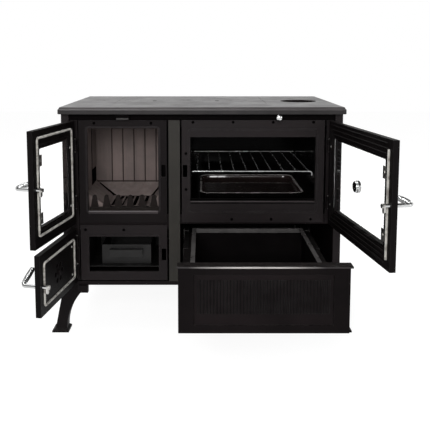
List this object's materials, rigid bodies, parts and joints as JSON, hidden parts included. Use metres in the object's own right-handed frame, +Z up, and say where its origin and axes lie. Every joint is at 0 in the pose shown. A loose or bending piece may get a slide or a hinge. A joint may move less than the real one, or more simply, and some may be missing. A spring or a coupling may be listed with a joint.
{
  "type": "wood cook stove",
  "caption": "Cast iron cook stove on curved legs, with glazed firebox and oven doors, an ash door, a wood drawer, a flat hob with lift-out plates and coil-grip handles.",
  "frame": {"origin": "on the floor, under the middle of the stove's outline with its doors and drawer open as stored", "axes": "+Z up, the front with its doors faces -Y, +X to the viewer's right"},
  "size_m": [1.1673, 1.1198, 0.82],
  "materials": {
    "cast_top": "smooth machined casting, lightly oiled",
    "cast_body": "satin stove paint on cast iron",
    "cast_raw": "matt sand casting",
    "cast_frame": "satin stove paint",
    "liner": "matt, scorched brown",
    "enamel": "gloss vitreous enamel",
    "sheet": "dull sheet steel",
    "chrome": "polished",
    "steel": "zinc plated",
    "glass": "clear ceramic glass",
    "rope": "woven glass rope",
    "needle": "red paint"
  },
  "bodies": {
    "stove_body": {"top_plate": "cast_top", "cooking_plate": "cast_top", "flue_collar": "cast_raw", "side_panel_left": "cast_body", "side_panel_right": "cast_body", "back_panel": "cast_body", "bottom_panel": "cast_body", "upper_front_rail": "cast_body", "centre_wall": "cast_body", "hearth_plate": "cast_raw", "firebox_frame": "cast_frame", "ash_frame": "cast_frame", "oven_frame": "cast_frame", "hinge_plates": "cast_body", "hinge_pins": "steel", "legs": "cast_raw", "frame_screws": "steel", "firebox_liners": "liner", "firebox_cheeks": "liner", "grate": "cast_raw", "log_guard": "cast_raw", "ash_box": "sheet", "oven_box": "enamel", "smoke_baffle": "cast_raw", "drawer_rails_outer": "steel"},
    "hotplate_left": {"hotplate_ring_left": "cast_top"},
    "hotplate_right": {"hotplate_ring_right": "cast_top"},
    "lid_left": {"hotplate_lid_left": "cast_top"},
    "lid_right": {"hotplate_lid_right": "cast_top"},
    "firebox_door": {"firebox_door_frame": "cast_body", "firebox_door_glass": "glass", "firebox_door_gasket": "rope", "firebox_glass_clips": "steel"},
    "firebox_handle": {"firebox_handle_rod": "chrome", "firebox_handle_coil": "chrome", "firebox_latch_cam": "steel"},
    "ash_door": {"ash_door_plate": "cast_body", "ash_door_gasket": "rope"},
    "ash_air_spinner": {"air_spinner": "steel"},
    "ash_handle": {"ash_handle_rod": "chrome", "ash_handle_coil": "chrome", "ash_latch_cam": "steel"},
    "oven_door": {"oven_door_frame": "cast_body", "oven_door_glass": "glass", "oven_door_gasket": "rope", "oven_glass_clips": "steel", "thermometer_case": "steel"},
    "oven_handle": {"oven_handle_rod": "chrome", "oven_handle_coil": "chrome", "oven_latch_cam": "steel"},
    "gauge_needle": {"thermometer_needle": "needle"},
    "wood_drawer": {"drawer_front": "cast_body", "drawer_box": "sheet"},
    "rail_slides": {"drawer_rails_middle": "steel"},
    "ash_tray_pan": {"ash_pan": "sheet"},
    "rack": {"oven_rack": "chrome"},
    "tray": {"baking_tray": "enamel"},
    "flue_damper": {"damper_knob": "chrome", "damper_plate": "cast_raw"},
    "air_slide_bar": {"air_slide": "steel"}
  },
  "joints": [
    {"name": "firebox_door_hinge", "type": "hinge", "parent": "stove_body", "child": "firebox_door", "pos_m": [-0.45, -0.04315, 0.59], "axis": [0, 0, -1], "range_deg": [-101.4, 30]},
    {"name": "firebox_handle_turn", "type": "hinge", "parent": "firebox_door", "child": "firebox_handle", "pos_m": [-0.51177, -0.34948, 0.59], "axis": [0.9803, -0.1977, 0], "range_deg": [-90, 15]},
    {"name": "ash_door_hinge", "type": "hinge", "parent": "stove_body", "child": "ash_door", "pos_m": [-0.45, -0.04315, 0.2835], "axis": [0, 0, -1], "range_deg": [-99.1, 30]},
    {"name": "ash_handle_turn", "type": "hinge", "parent": "ash_door", "child": "ash_handle", "pos_m": [-0.49942, -0.35171, 0.2835], "axis": [0.9874, -0.1582, 0], "range_deg": [-90, 15]},
    {"name": "air_spinner_turn", "type": "hinge", "parent": "ash_door", "child": "ash_air_spinner", "pos_m": [-0.47784, -0.21693, 0.2835], "axis": [0.9874, -0.1582, 0], "range_deg": [0, 30]},
    {"name": "oven_door_hinge", "type": "hinge", "parent": "stove_body", "child": "oven_door", "pos_m": [0.45, -0.04315, 0.59], "axis": [0, 0, 1], "range_deg": [-97.7, 30]},
    {"name": "oven_handle_turn", "type": "hinge", "parent": "oven_door", "child": "oven_handle", "pos_m": [0.5184, -0.54905, 0.59], "axis": [0.991, 0.134, 0], "range_deg": [-90, 15]},
    {"name": "thermometer_needle_turn", "type": "hinge", "parent": "oven_door", "child": "gauge_needle", "pos_m": [0.48477, -0.30031, 0.59], "axis": [-0.991, -0.134, 0], "range_deg": [0, 240]},
    {"name": "drawer_slide", "type": "slide", "parent": "stove_body", "child": "wood_drawer", "axis": [0, -1, 0], "range_m": [-0.41, 0.02]},
    {"name": "drawer_rail_slide", "type": "slide", "parent": "stove_body", "child": "rail_slides", "axis": [0, -1, 0], "range_m": [-0.205, 0.01]},
    {"name": "ash_pan_slide", "type": "slide", "parent": "stove_body", "child": "ash_tray_pan", "axis": [0, -1, 0], "range_m": [0, 0.3]},
    {"name": "oven_rack_slide", "type": "slide", "parent": "stove_body", "child": "rack", "axis": [0, -1, 0], "range_m": [0, 0.4]},
    {"name": "baking_tray_slide", "type": "slide", "parent": "stove_body", "child": "tray", "axis": [0, -1, 0], "range_m": [0, 0.3]},
    {"name": "damper_pull", "type": "slide", "parent": "stove_body", "child": "flue_damper", "axis": [0, -1, 0], "range_m": [0, 0.07]},
    {"name": "air_slide_pull", "type": "slide", "parent": "stove_body", "child": "air_slide_bar", "axis": [0, -1, 0], "range_m": [0, 0.05]},
    {"name": "hotplate_left_lift", "type": "slide", "parent": "stove_body", "child": "hotplate_left", "axis": [0, 0, 1], "range_m": [0, 0.12]},
    {"name": "hotplate_right_lift", "type": "slide", "parent": "stove_body", "child": "hotplate_right", "axis": [0, 0, 1], "range_m": [0, 0.12]},
    {"name": "lid_left_lift", "type": "slide", "parent": "hotplate_left", "child": "lid_left", "axis": [0, 0, 1], "range_m": [0, 0.12]},
    {"name": "lid_right_lift", "type": "slide", "parent": "hotplate_right", "child": "lid_right", "axis": [0, 0, 1], "range_m": [0, 0.12]}
  ],
  "couplings": [
    {"joint": "drawer_rail_slide", "follows": "drawer_slide", "ratio": 0.5}
  ]
}
